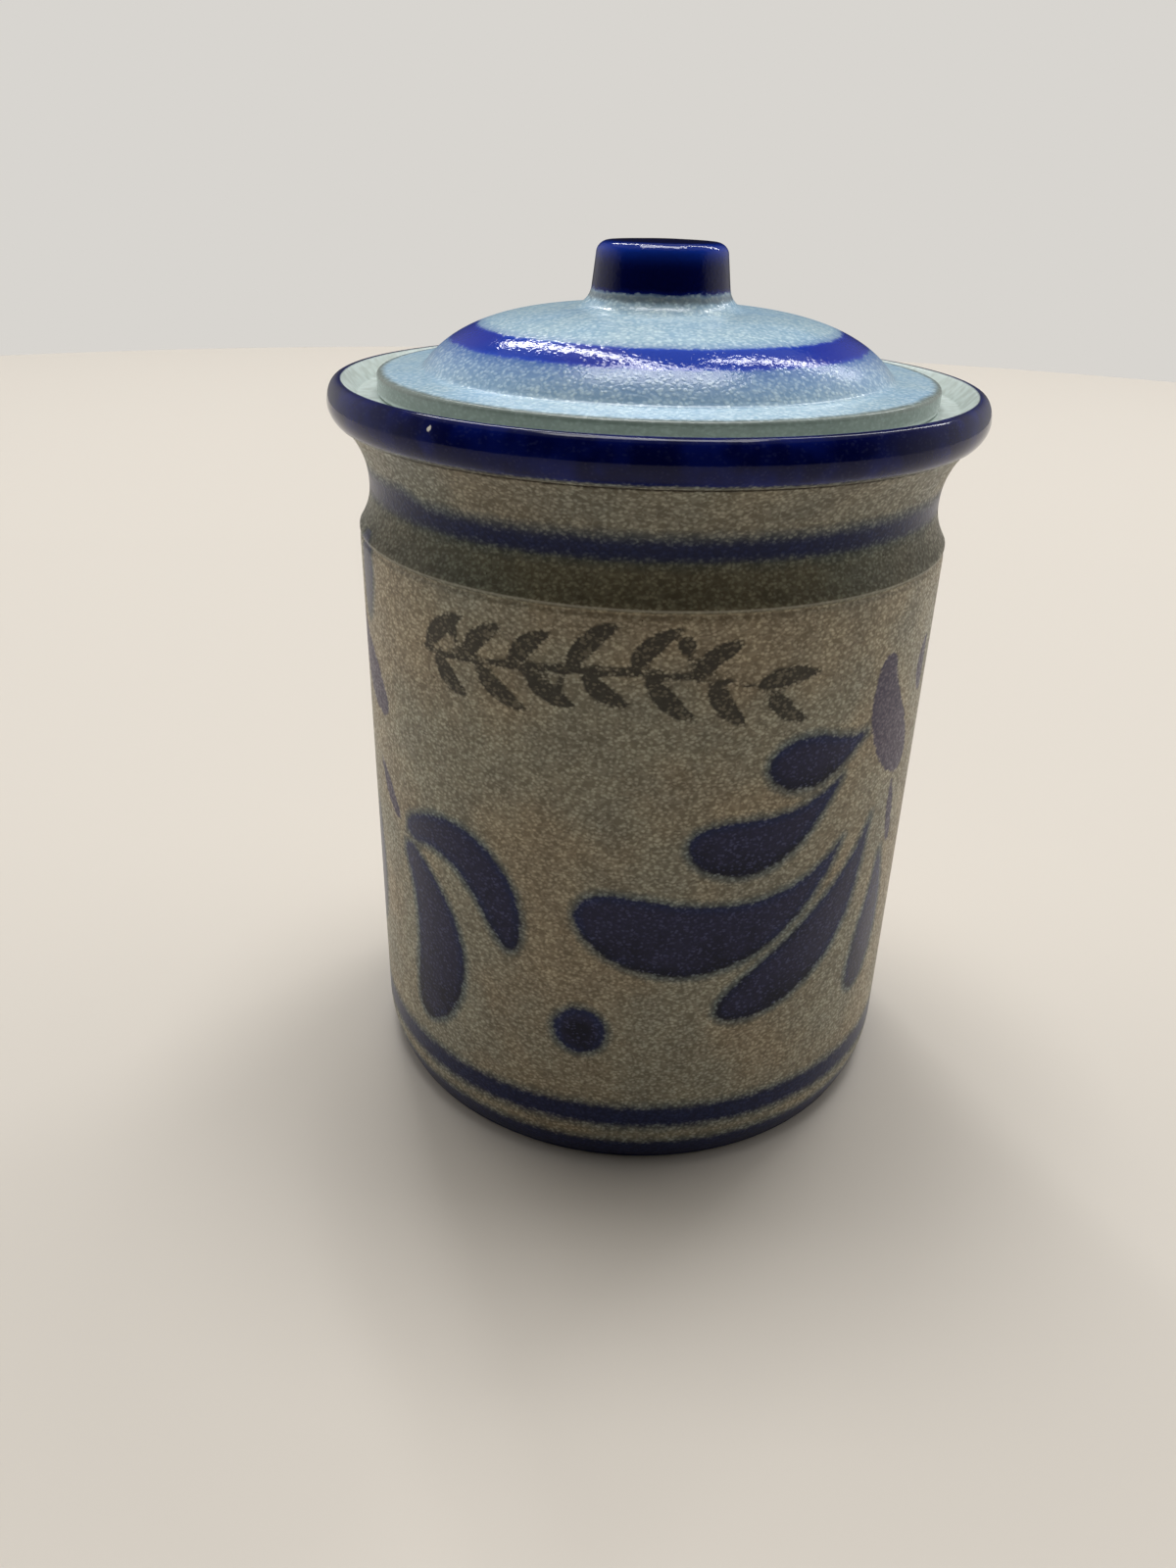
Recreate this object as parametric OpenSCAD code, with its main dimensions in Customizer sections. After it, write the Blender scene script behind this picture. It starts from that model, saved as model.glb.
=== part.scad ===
// Salt-glazed stoneware rumtopf pot: a crock with a collared rim, and a loose lid with a
// knob that sits on a ledge inside the rim.
// The origin is the centre of the foot, on the surface the pot stands on, and +Z is up.

/* [Crock] */
// Outer diameter of the straight wall
body_d = 148; // [120:1:200]
// Height from the foot to the crest of the rim
crock_h = 187.5; // [160:0.5:260]
// Thickness of the wall
wall_t = 6.5; // [5:0.25:9]
// Thickness of the floor above the foot recess
floor_t = 7; // [5:0.5:12]
// Radius of the round corner between the floor and the wall inside
floor_round = 12; // [6:0.5:20]

/* [Foot] */
// Height over which the wall draws in to the foot
foot_h = 13; // [8:0.5:18]
// How far the foot is drawn in from the wall
foot_in = 3.4; // [2:0.1:5]
// Bevel on the lower edge of the foot
foot_bevel = 0.8; // [0.5:0.1:1.5]
// Width of the flat ring that the pot stands on
foot_ring_w = 11; // [8:0.5:18]
// Depth of the recess inside that ring
foot_recess = 1.6; // [1:0.1:3]

/* [Neck] */
// Height of the collar, from the tooled line to the crest of the rim
collar_h = 36; // [30:0.5:42]
// How far the neck is drawn in from the wall
neck_in = 3; // [2:0.1:5]
// Thickness of the neck at its waist
neck_t = 7; // [6:0.25:9]
// Depth of the tooled line where the collar starts
groove_depth = 0.5; // [0.3:0.05:1]

/* [Rim] */
// How far the bead of the rim stands out from the wall
bead_out = 5.8; // [4:0.1:8]
// Height of the bead
bead_h = 10; // [8:0.5:12]
// Thickness of the rim from the bead to the edge of the ledge
rim_t = 6.8; // [6:0.1:7.8]
// Depth of the ledge below the crest of the rim
ledge_depth = 3.8; // [3:0.1:4.8]

/* [Lid] */
// Gap between the edge of the lid and the rim around it
lid_gap = 5.2; // [1:0.1:5.5]
// Thickness of the lid at its edge
lid_edge_t = 5; // [4:0.1:7]
// Width of the flat flange round the dome
flange_w = 11.2; // [10:0.2:14]
// Height of the dome above the flange
dome_h = 13.2; // [10:0.2:20]
// Thickness of the dome
dome_t = 6; // [5:0.25:8]
// Gap between the locating skirt and the mouth
skirt_gap = 1.2; // [0.6:0.1:2.5]
// Height of the skirt below the ledge
skirt_h = 8; // [5:0.5:12]
// Thickness of the skirt
skirt_t = 5; // [4:0.25:7]

/* [Knob] */
// Diameter of the knob
knob_d = 32; // [26:0.5:40]
// Height of the knob above the dome
knob_h = 15; // [12:0.5:22]
// How far the foot of the knob flares out into the dome
knob_flare = 5.5; // [3:0.25:7]
// Radius of the round edge on top of the knob
knob_round = 3.2; // [2:0.1:4]

/* [Painted bands] */
// Height of the dark band round the foot
foot_band_h = 7.6; // [5:0.1:10]
// Height of the middle of the stripe above the foot
stripe_z = 16; // [14:0.5:18]
// Width of that stripe
stripe_w = 5; // [3:0.5:6]
// Height of the middle of the neck stripe above the tooled line
neck_stripe_up = 13; // [9:0.5:15]
// Width of the neck stripe
neck_stripe_w = 4; // [2:0.5:5]
// Width of the stripe round the dome, measured from the axis outwards
dome_stripe_w = 7; // [4:0.5:9]
// How far the dome stripe stays in from the foot of the dome
dome_stripe_in = 7; // [5:0.5:9]
// Height of the bare foot of the knob below its coloured cap
knob_bare_h = 4.2; // [3:0.2:6]

/* [Hidden] */
$fn = 96;

// Colours
clay = "#A8A294";
glaze_white = "#DCD9CF";
lid_clay = "#AEB6BE";
cobalt = "#1C2A78";

// Curves are drawn in this many steps
steps = 14;
// How far the skirt reaches into the lid where they are joined
bite = 0.6;
// How far the cutters pass the faces they cut
over = 1;

// Height of the tooled line
groove_h = 2.6;
// Height of the waist of the neck, as a share of the neck between line and bead
waist_share = 0.37;
// How strongly the neck bends out to the bead
neck_bend = 2.3;
// How far the crease under the bead stands out from the wall
crease_out = 2.3;
// Depth of the widest line of the bead below the crest, as a share of the bead
belly_share = 0.52;
// How full the underside of the bead is, 2 being an ellipse
bead_full = 1.75;
// How far the crest lies in from the widest line
crest_in = 3;
// Drop and reach of the first slope inside the crest
crest_drop = 1.3;
crest_slope = 1.7;
// Small corners of the ledge and of the mouth below it
ledge_corner = 0.5;
mouth_round = 1.2;
// How far the straight mouth reaches below the crease
mouth_straight = 16;
// How far below the tooled line the inside gets its full width, and the pull of that curve
inner_down = 8;
inner_pull = 7;

// Rise from the edge of the lid's flange to the foot of the dome
flange_rise = 1.2;
// Round edge of the flange, and the bevels of the skirt
edge_round = 0.9;
skirt_bevel = 1;
// Shape of the dome: pulls of its curve outside and inside
dome_low_pull = [4.1, 0.41];
dome_high_pull = [13.6, 0.07];
under_low_pull = [4, 0.45];
under_high_pull = 14;
// Height of the waist of the knob, its width there and the narrowing of the knob to the top
knob_waist_h = 4.4;
knob_waist_out = 0.5;
knob_taper = 0.4;

// Crock, all radii and heights from the sizes above
body_r = body_d / 2;
groove_z = crock_h - collar_h;
collar_z = groove_z + groove_h / 2;
waist_r = body_r - neck_in;
waist_z = collar_z + waist_share * (collar_h - bead_h);
crease_r = body_r + crease_out;
crease_z = crock_h - bead_h;
bead_r = body_r + bead_out;
belly_z = crock_h - belly_share * bead_h;
ledge_z = crock_h - ledge_depth;
crest_r = bead_r - crest_in;
ledge_r = bead_r - rim_t;
mouth_r = waist_r - neck_t;
mouth_low_z = crease_z - mouth_straight;
inner_r = body_r - wall_t;
inner_top_z = groove_z - inner_down;
floor_z = foot_recess + floor_t;
foot_round = (foot_h * foot_h + foot_in * foot_in) / (2 * foot_in);
foot_r = body_r - foot_in;
recess_r = foot_r - foot_bevel - foot_ring_w;

// Lid, seated on the ledge
lid_r = ledge_r - lid_gap;
flange_z = ledge_z + lid_edge_t;
dome_r = lid_r - flange_w;
dome_z = flange_z + flange_rise;
dome_top_z = dome_z + dome_h;
knob_r = knob_d / 2;
knob_top_z = dome_top_z + knob_h;
skirt_r = mouth_r - skirt_gap;
skirt_low_z = ledge_z - skirt_h;
skirt_in_r = skirt_r - skirt_t;

// Point on a curve with two pull points, t from 0 to 1
function bend(a, b, c, d, t) =
    pow(1 - t, 3) * a + 3 * pow(1 - t, 2) * t * b + 3 * (1 - t) * t * t * c + pow(t, 3) * d;

// Points of such a curve
function curve(a, b, c, d, n = steps) = [for (i = [0:n]) bend(a, b, c, d, i / n)];

// Points of a rounded corner: centre, the two half-axes and the angles it runs between
function corner(c, w, h, from, to, n = 8, power = 2) = [
    for (i = [0:n])
        let (a = from + (to - from) * i / n)
        [c[0] + w * sign(cos(a)) * pow(abs(cos(a)), 2 / power),
         c[1] + h * sign(sin(a)) * pow(abs(sin(a)), 2 / power)]
];

// Outer radius of the foot and of the neck at height z
function foot_curve_r(z) = body_r - foot_round + sqrt(pow(foot_round, 2) - pow(foot_h - z, 2));
function neck_r(z) = z < waist_z
    ? waist_r + neck_in * pow((waist_z - z) / (waist_z - collar_z), 2)
    : waist_r + (crease_r - waist_r) * pow((z - waist_z) / (crease_z - waist_z), neck_bend);

// Outer outline of the crock from the foot up to the crease under the bead
foot_points = [for (i = [0:steps]) let (z = foot_bevel + (foot_h - foot_bevel) * i / steps)
    [foot_curve_r(z), z]];
groove_points = [
    [body_r, groove_z - groove_h / 2],
    [body_r - groove_depth, groove_z],
    [body_r - groove_depth / 3, groove_z + groove_h / 4],
];
neck_points = [for (i = [0:steps]) let (z = collar_z + (crease_z - collar_z) * i / steps)
    [neck_r(z), z]];

// Outline of the bead, from the crease over the belly to the crest
bead_points = concat(
    corner([crease_r, belly_z], bead_r - crease_r, belly_z - crease_z, 270, 360, 10, bead_full),
    corner([crest_r, belly_z], bead_r - crest_r, crock_h - belly_z, 0, 90)
);

module crock_outside() {
    rotate_extrude() polygon(concat(
        [[0, 0], [foot_curve_r(foot_bevel) - foot_bevel, 0]],
        foot_points, groove_points, neck_points, bead_points,
        [[0, crock_h]]
    ));
}

// Hollow of the crock: floor, wall, mouth, ledge for the lid and the sloped inside of the rim
module crock_hollow() {
    crest_low = [crest_r - crest_slope, crock_h - crest_drop];
    crest_top = [crest_r, crock_h];
    rotate_extrude() polygon(concat(
        [[0, floor_z]],
        corner([inner_r - floor_round, floor_z + floor_round], floor_round, floor_round, 270, 360),
        curve([inner_r, inner_top_z], [inner_r, inner_top_z + inner_pull],
              [mouth_r, mouth_low_z - inner_pull],
              [mouth_r, mouth_low_z]),
        corner([mouth_r + mouth_round, ledge_z - mouth_round], -mouth_round, mouth_round, 0, 90, 4),
        [[ledge_r - ledge_corner, ledge_z], [ledge_r, ledge_z + ledge_corner]],
        curve(crest_low, crest_low + [0.8, 0.8], crest_top - [0.9, 0], crest_top, 6),
        [[crest_r, crock_h + over], [0, crock_h + over]]
    ));
}

// Space between two heights, and a tube of space between two radii
module height_slice(low, high) {
    translate([0, 0, low]) cylinder(r = bead_r + over, h = high - low);
}

module tube_slice(r_in, r_out) {
    difference() {
        translate([0, 0, ledge_z + lid_edge_t / 2]) cylinder(r = r_out, h = knob_top_z);
        translate([0, 0, ledge_z]) cylinder(r = r_in, h = knob_top_z + lid_edge_t);
    }
}

// Heights where the colour of the crock changes, from the foot up: clay and cobalt by turns,
// and the colour of the lowest is cobalt
neck_stripe_z = groove_z + neck_stripe_up;
colour_steps = [
    0, foot_band_h,
    stripe_z - stripe_w / 2, stripe_z + stripe_w / 2,
    neck_stripe_z - neck_stripe_w / 2, neck_stripe_z + neck_stripe_w / 2,
    crease_z, crock_h,
];

module crock() {
    difference() {
        union() for (i = [0:len(colour_steps) - 2])
            color(i % 2 == 0 ? cobalt : clay) intersection() {
                crock_outside();
                height_slice(colour_steps[i], colour_steps[i + 1]);
            }
        color(glaze_white) crock_hollow();
        color(clay) translate([0, 0, -over]) cylinder(r = recess_r, h = foot_recess + over);
    }
}

// Top of the lid from its edge over the flange and the dome to the foot of the knob
dome_in_r = knob_r + knob_flare;
dome_points = curve([dome_r, dome_z],
                    [dome_r - dome_low_pull[0], dome_z + dome_low_pull[1] * dome_h],
                    [dome_r - dome_high_pull[0], dome_top_z - dome_high_pull[1] * dome_h],
                    [dome_in_r, dome_top_z]);

// Side of the knob from the dome up, and its round top edge
knob_side_low = [knob_r + knob_waist_out, dome_top_z + knob_waist_h];
knob_side_high = [knob_r - knob_taper, knob_top_z - knob_round];
knob_foot = curve([dome_in_r, dome_top_z], [dome_in_r - 2.5, dome_top_z + 0.3],
                  [knob_r + 0.9, dome_top_z + 1.8], knob_side_low, 8);
knob_top = corner([knob_side_high[0] - knob_round, knob_side_high[1]], knob_round,
                  knob_round - knob_taper, 0, 90);

module lid_outside() {
    rotate_extrude() polygon(concat(
        [[0, ledge_z], [lid_r - edge_round, ledge_z]],
        [[lid_r, ledge_z + edge_round], [lid_r, flange_z - edge_round]],
        corner([lid_r - edge_round, flange_z - edge_round], edge_round, edge_round, 0, 90, 4),
        [[dome_r + 1.6, dome_z - 0.5]],
        dome_points, knob_foot, knob_top,
        [[0, knob_top_z]]
    ));
}

// Locating skirt below the lid, inside the mouth of the crock
module lid_skirt() {
    rotate_extrude() polygon([
        [skirt_in_r, skirt_low_z + skirt_bevel],
        [skirt_in_r + skirt_bevel, skirt_low_z],
        [skirt_r - skirt_bevel, skirt_low_z],
        [skirt_r, skirt_low_z + skirt_bevel],
        [skirt_r, ledge_z + bite],
        [skirt_in_r, ledge_z + bite],
    ]);
}

// Hollow under the dome, a wall's thickness inside it
module lid_hollow() {
    under_z = dome_top_z - dome_t;
    under_low = [min(skirt_in_r, dome_r - dome_t + 3), dome_z - dome_t + 1];
    rotate_extrude() polygon(concat(
        [[0, skirt_low_z - over], [skirt_in_r, skirt_low_z - over]],
        [[skirt_in_r, ledge_z - over]],
        curve(under_low, under_low + [-under_low_pull[0], under_low_pull[1] * dome_h],
              [dome_in_r + under_high_pull, under_z], [dome_in_r, under_z]),
        [[0, under_z]]
    ));
}

module lid() {
    stripe_out_r = dome_r - dome_stripe_in;
    cap_z = dome_top_z + knob_bare_h;
    difference() {
        union() {
            color(cobalt) intersection() {
                lid_outside();
                union() {
                    tube_slice(stripe_out_r - dome_stripe_w, stripe_out_r);
                    height_slice(cap_z, knob_top_z + over);
                }
            }
            color(lid_clay) difference() {
                lid_outside();
                tube_slice(stripe_out_r - dome_stripe_w, stripe_out_r);
                height_slice(cap_z, knob_top_z + over);
            }
            color(lid_clay) lid_skirt();
        }
        color(glaze_white) lid_hollow();
    }
}

crock();
lid();
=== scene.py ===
"""Looks of a salt-glazed stoneware rumtopf pot: a crock and its loose lid, painted in cobalt."""
import math

import bpy
import numpy as np
from mathutils import Matrix, Vector


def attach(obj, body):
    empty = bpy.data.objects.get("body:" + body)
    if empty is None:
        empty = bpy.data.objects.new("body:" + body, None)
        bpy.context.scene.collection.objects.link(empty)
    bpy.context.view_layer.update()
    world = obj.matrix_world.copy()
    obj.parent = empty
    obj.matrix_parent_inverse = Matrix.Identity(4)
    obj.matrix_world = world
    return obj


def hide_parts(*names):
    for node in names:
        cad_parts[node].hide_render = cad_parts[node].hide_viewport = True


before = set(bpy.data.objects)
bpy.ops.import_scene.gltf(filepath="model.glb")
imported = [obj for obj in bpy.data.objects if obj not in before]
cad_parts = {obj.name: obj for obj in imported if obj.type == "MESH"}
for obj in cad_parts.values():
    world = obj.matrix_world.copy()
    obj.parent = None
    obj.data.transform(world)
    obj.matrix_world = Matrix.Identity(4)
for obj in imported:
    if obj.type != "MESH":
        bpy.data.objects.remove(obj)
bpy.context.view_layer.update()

MM = 0.001

# Crock, in millimetres
BODY_R = 74.0
CROCK_H = 187.5
WALL_T = 6.5
FLOOR_T = 7.0
FLOOR_ROUND = 12.0
FOOT_H = 13.0
FOOT_IN = 3.4
FOOT_BEVEL = 0.8
FOOT_RING_W = 11.0
FOOT_RECESS = 1.6
COLLAR_H = 36.0
NECK_IN = 3.0
NECK_T = 7.0
GROOVE_DEPTH = 0.5
GROOVE_H = 2.6
BEAD_OUT = 5.8
BEAD_H = 10.0
RIM_T = 6.8
LEDGE_DEPTH = 3.8
CREST_IN = 3.0
CREASE_OUT = 2.3
NECK_BEND = 2.3
BEAD_FULL = 1.75
MOUTH_ROUND = 1.2
# Where the neck is narrowest and the bead widest, as shares of the neck's and the bead's height
WAIST_SHARE = 0.37
BELLY_SHARE = 0.52
# How far the crest drops before its slope starts, and how far in from the crest that is
CREST_DROP = 1.3
CREST_SLOPE = 1.7
# The straight part of the mouth, and how far below the tooled line the inside is at its full
# width, with the pull of the curve between them
MOUTH_STRAIGHT = 16.0
INNER_DOWN = 8.0
INNER_PULL = 7.0
# Small forms: the foot ring's inner bevel, where the tooled line begins below its middle, and the
# round corner between the crest's slope and the ledge, up and inwards
RING_BEVEL = 1.0
GROOVE_LOW = 1.6
LEDGE_LIP = 0.4
LEDGE_HOLLOW = 0.6

# Lid, in millimetres
LID_GAP = 5.2
LID_EDGE_T = 5.0
FLANGE_W = 11.2
FLANGE_RISE = 1.2
EDGE_ROUND = 0.9
DOME_H = 13.2
DOME_T = 6.0
SKIRT_GAP = 1.2
SKIRT_H = 8.0
SKIRT_T = 5.0
KNOB_R = 16.0
KNOB_H = 15.0
KNOB_FLARE = 5.5
KNOB_ROUND = 3.2
KNOB_WAIST_H = 4.4
KNOB_WAIST_OUT = 0.5
KNOB_TAPER = 0.4
SKIRT_BEVEL = 1.0
# Pulls of the dome's two curves: out or in from where they start, then a share of its height
DOME_LOW_PULL = (4.1, 0.41)
DOME_HIGH_PULL = (13.6, 0.07)
UNDER_LOW_PULL = (4.0, 0.45)
UNDER_HIGH_PULL = 14.0
# The shallow trough where the dome meets the flange: how wide and how deep
TROUGH_W = 2.4
TROUGH_DEPTH = 0.55

# How far bead and knob stay inside the CAD's box, so that no wobble passes it
INSIDE_CAD = 0.05

# Heights and radii that follow from these
GROOVE_Z = CROCK_H - COLLAR_H
COLLAR_Z = GROOVE_Z + GROOVE_H / 2
WAIST_R = BODY_R - NECK_IN
WAIST_Z = COLLAR_Z + WAIST_SHARE * (COLLAR_H - BEAD_H)
CREASE_R = BODY_R + CREASE_OUT
CREASE_Z = CROCK_H - BEAD_H
BEAD_R = BODY_R + BEAD_OUT - INSIDE_CAD
BELLY_Z = CROCK_H - BELLY_SHARE * BEAD_H
LEDGE_Z = CROCK_H - LEDGE_DEPTH
CREST_R = BEAD_R - CREST_IN
LEDGE_R = BODY_R + BEAD_OUT - RIM_T
MOUTH_R = WAIST_R - NECK_T
MOUTH_LOW_Z = CREASE_Z - MOUTH_STRAIGHT
INNER_R = BODY_R - WALL_T
INNER_TOP_Z = GROOVE_Z - INNER_DOWN
FLOOR_Z = FOOT_RECESS + FLOOR_T
FOOT_ROUND = (FOOT_H ** 2 + FOOT_IN ** 2) / (2 * FOOT_IN)
RECESS_R = BODY_R - FOOT_IN - FOOT_BEVEL - FOOT_RING_W
LID_R = LEDGE_R - LID_GAP
FLANGE_Z = LEDGE_Z + LID_EDGE_T
DOME_R = LID_R - FLANGE_W
DOME_Z = FLANGE_Z + FLANGE_RISE
DOME_TOP_Z = DOME_Z + DOME_H
DOME_IN_R = KNOB_R + KNOB_FLARE
KNOB_TOP_Z = DOME_TOP_Z + KNOB_H - INSIDE_CAD
SKIRT_R = MOUTH_R - SKIRT_GAP
SKIRT_LOW_Z = LEDGE_Z - SKIRT_H
SKIRT_IN_R = SKIRT_R - SKIRT_T

# Painted parts of the crock: edges of bands as heights, and the place of a chip
FOOT_BAND_TOP = 7.4
FOOT_STRIPE = (13.8, 19.4)
NECK_STRIPE = (162.1, 165.5)
BEAD_LOW_Z = CREASE_Z + 1.0
# Heights of the darker band above the tooled line: a grey-green wash, partly painted shade from the
# bead's overhang
WASH_AND_SHADE_ZONE = (GROOVE_Z - 0.2, 162.5)
# How far before the inner end of the rounded crest the cobalt stops and the slip starts
CREST_WIDE = 1.7
CHIP_AT = (-44.6, -65.4, 185.3)

# The neck stripe starts and ends in one place, this many degrees left of the front, where its two
# ends miss each other. How far its edges lie off their heights is given at shares of the way round.
STRIPE_START = 44
STRIPE_STEP = ([0, 0.985, 1], [0, 1.0, 0])
STRIPE_LOW = ([0, 0.03, 0.9, 0.985, 1], [0.2, 0, 0, -0.8, 0.2])
STRIPE_HIGH = ([0, 0.06, 0.9, 0.985, 1], [0.2, 0, 0, 1.4, 0.4])
STRIPE_VEIL = 3.0

# How far the foot band goes on along the underside
FOOT_BAND_DOWN = 30.0

# Painted parts of the lid
DOME_STRIPE_R = (43.4, 50.4)
KNOB_CAP_Z = DOME_TOP_Z + 4.2
# How far cobalt runs down from the stripe, and how wide the thin glaze is at the knob's top edge
DRIP_W = 10.0
THIN_W = 2.2

# Steps round the turned pieces, which keep each of them under 200,000 faces
CROCK_TURNS = 392
LID_TURNS = 400

# Hand-made unevenness: the seed of its random draws, and its size
HAND = (3, 0.03)
CROCK_BANDS = (11, 0.16)
CROCK_SLIP = (12, 0.12)
LID_STRIPE = (21, 0.12)
LID_CAP = (22, 0.12)
WAVES = 6
# A piece is true at both ends of its visible outline, and as uneven as it gets this far from them
HAND_REACH = 20.0


# Outlines

def curve(a, b, c, d, n=16):
    """Points from a to d, pulled by b and c."""
    t = np.linspace(0, 1, n + 1)[:, None]
    a, b, c, d = (np.array(p, float) for p in (a, b, c, d))
    return (1 - t) ** 3 * a + 3 * (1 - t) ** 2 * t * b + 3 * (1 - t) * t * t * c + t ** 3 * d


def corner(centre, w, h, start, end, n=12, power=2.0):
    """Points of a rounded corner with half-axes w and h, between two angles in degrees."""
    a = np.radians(np.linspace(start, end, n + 1))
    c, s = np.cos(a), np.sin(a)
    x = centre[0] + w * np.sign(c) * np.abs(c) ** (2 / power)
    y = centre[1] + h * np.sign(s) * np.abs(s) ** (2 / power)
    return np.stack([x, y], 1)


def even(points, step):
    """The same line in even steps of about that length."""
    points = np.array(points, float)
    along = np.concatenate([[0], np.cumsum(np.linalg.norm(np.diff(points, axis=0), axis=1))])
    n = max(1, round(along[-1] / step))
    at = np.linspace(0, along[-1], n + 1)
    return np.stack([np.interp(at, along, points[:, k]) for k in (0, 1)], 1)


def join(*runs):
    """One line out of several runs, without the points where they meet twice."""
    line = [runs[0]]
    for run in runs[1:]:
        line.append(run[1:] if np.allclose(run[0], line[-1][-1], atol=1e-6) else run)
    return np.concatenate(line)


def foot_r(z):
    return BODY_R - FOOT_ROUND + np.sqrt(FOOT_ROUND ** 2 - (FOOT_H - z) ** 2)


def neck_r(z):
    low = WAIST_R + NECK_IN * ((WAIST_Z - z) / (WAIST_Z - COLLAR_Z)) ** 2
    rise = np.clip((z - WAIST_Z) / (CREASE_Z - WAIST_Z), 0, 1)
    high = WAIST_R + (CREASE_R - WAIST_R) * rise ** NECK_BEND
    return np.where(z < WAIST_Z, low, high)


def crock_outline():
    """Underside, outside up to the crest of the rim, and inside down to the floor."""
    foot_z = np.linspace(FOOT_BEVEL, FOOT_H, 20)
    neck_z = np.linspace(COLLAR_Z, CREASE_Z, 40)
    foot_edge = float(foot_r(FOOT_BEVEL))
    under = join(
        even([[0, FOOT_RECESS], [RECESS_R, FOOT_RECESS]], 7),
        even([[RECESS_R, FOOT_RECESS], [RECESS_R + 0.4, 0.3], [RECESS_R + RING_BEVEL, 0]], 0.6),
        even([[RECESS_R + RING_BEVEL, 0], [foot_edge - FOOT_BEVEL, 0]], 2.5),
        corner((foot_edge - FOOT_BEVEL, FOOT_BEVEL), FOOT_BEVEL, FOOT_BEVEL, 270, 360, 4),
    )
    wall = join(
        even(np.stack([foot_r(foot_z), foot_z], 1), 0.9),
        even([[BODY_R, FOOT_H], [BODY_R, GROOVE_Z - GROOVE_LOW]], 1.3),
    )
    groove_r = BODY_R - GROOVE_DEPTH
    groove = curve([BODY_R, GROOVE_Z - GROOVE_LOW], [BODY_R, GROOVE_Z - 0.8],
                   [groove_r, GROOVE_Z - 0.6], [groove_r, GROOVE_Z], 4)
    lip = curve([groove_r, GROOVE_Z], [BODY_R - 0.1, GROOVE_Z + 0.1],
                [BODY_R + 0.05, GROOVE_Z + 0.7], [float(neck_r(COLLAR_Z)), COLLAR_Z], 4)
    neck = even(np.stack([neck_r(neck_z), neck_z], 1), 1.1)
    bead_low = corner((CREASE_R, BELLY_Z), BEAD_R - CREASE_R, BELLY_Z - CREASE_Z, 270, 360, 30,
                      BEAD_FULL)
    bead_high = corner((CREST_R, BELLY_Z), BEAD_R - CREST_R, CROCK_H - BELLY_Z, 0, 90, 20)
    bead = join(even(bead_low, 0.75), even(bead_high, 0.6))
    crest_low = np.array([CREST_R - CREST_SLOPE, CROCK_H - CREST_DROP])
    crest = even(curve([CREST_R, CROCK_H], [CREST_R - 0.9, CROCK_H], crest_low + 0.8, crest_low), 0.5)
    slope = join(
        even([crest_low, [LEDGE_R, LEDGE_Z + LEDGE_LIP]], 0.7),
        curve([LEDGE_R, LEDGE_Z + LEDGE_LIP], [LEDGE_R - 0.15, LEDGE_Z + 0.2],
              [LEDGE_R - 0.3, LEDGE_Z], [LEDGE_R - LEDGE_HOLLOW, LEDGE_Z], 3),
    )
    mouth = join(
        even([[LEDGE_R - LEDGE_HOLLOW, LEDGE_Z], [MOUTH_R + MOUTH_ROUND, LEDGE_Z]], 1.5),
        corner((MOUTH_R + MOUTH_ROUND, LEDGE_Z - MOUTH_ROUND), -MOUTH_ROUND, MOUTH_ROUND, 90, 0, 4),
        even([[MOUTH_R, LEDGE_Z - MOUTH_ROUND], [MOUTH_R, MOUTH_LOW_Z]], 4),
        curve([MOUTH_R, MOUTH_LOW_Z], [MOUTH_R, MOUTH_LOW_Z - INNER_PULL],
              [INNER_R, INNER_TOP_Z + INNER_PULL], [INNER_R, INNER_TOP_Z], 6),
    )
    inside = join(
        even([[INNER_R, INNER_TOP_Z], [INNER_R, FLOOR_Z + FLOOR_ROUND]], 7),
        corner((INNER_R - FLOOR_ROUND, FLOOR_Z + FLOOR_ROUND), FLOOR_ROUND, FLOOR_ROUND, 360, 270, 8),
        even([[INNER_R - FLOOR_ROUND, FLOOR_Z], [0, FLOOR_Z]], 7),
    )
    return under, join(wall, groove, lip, neck, bead, crest), join(slope, mouth, inside)


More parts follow.
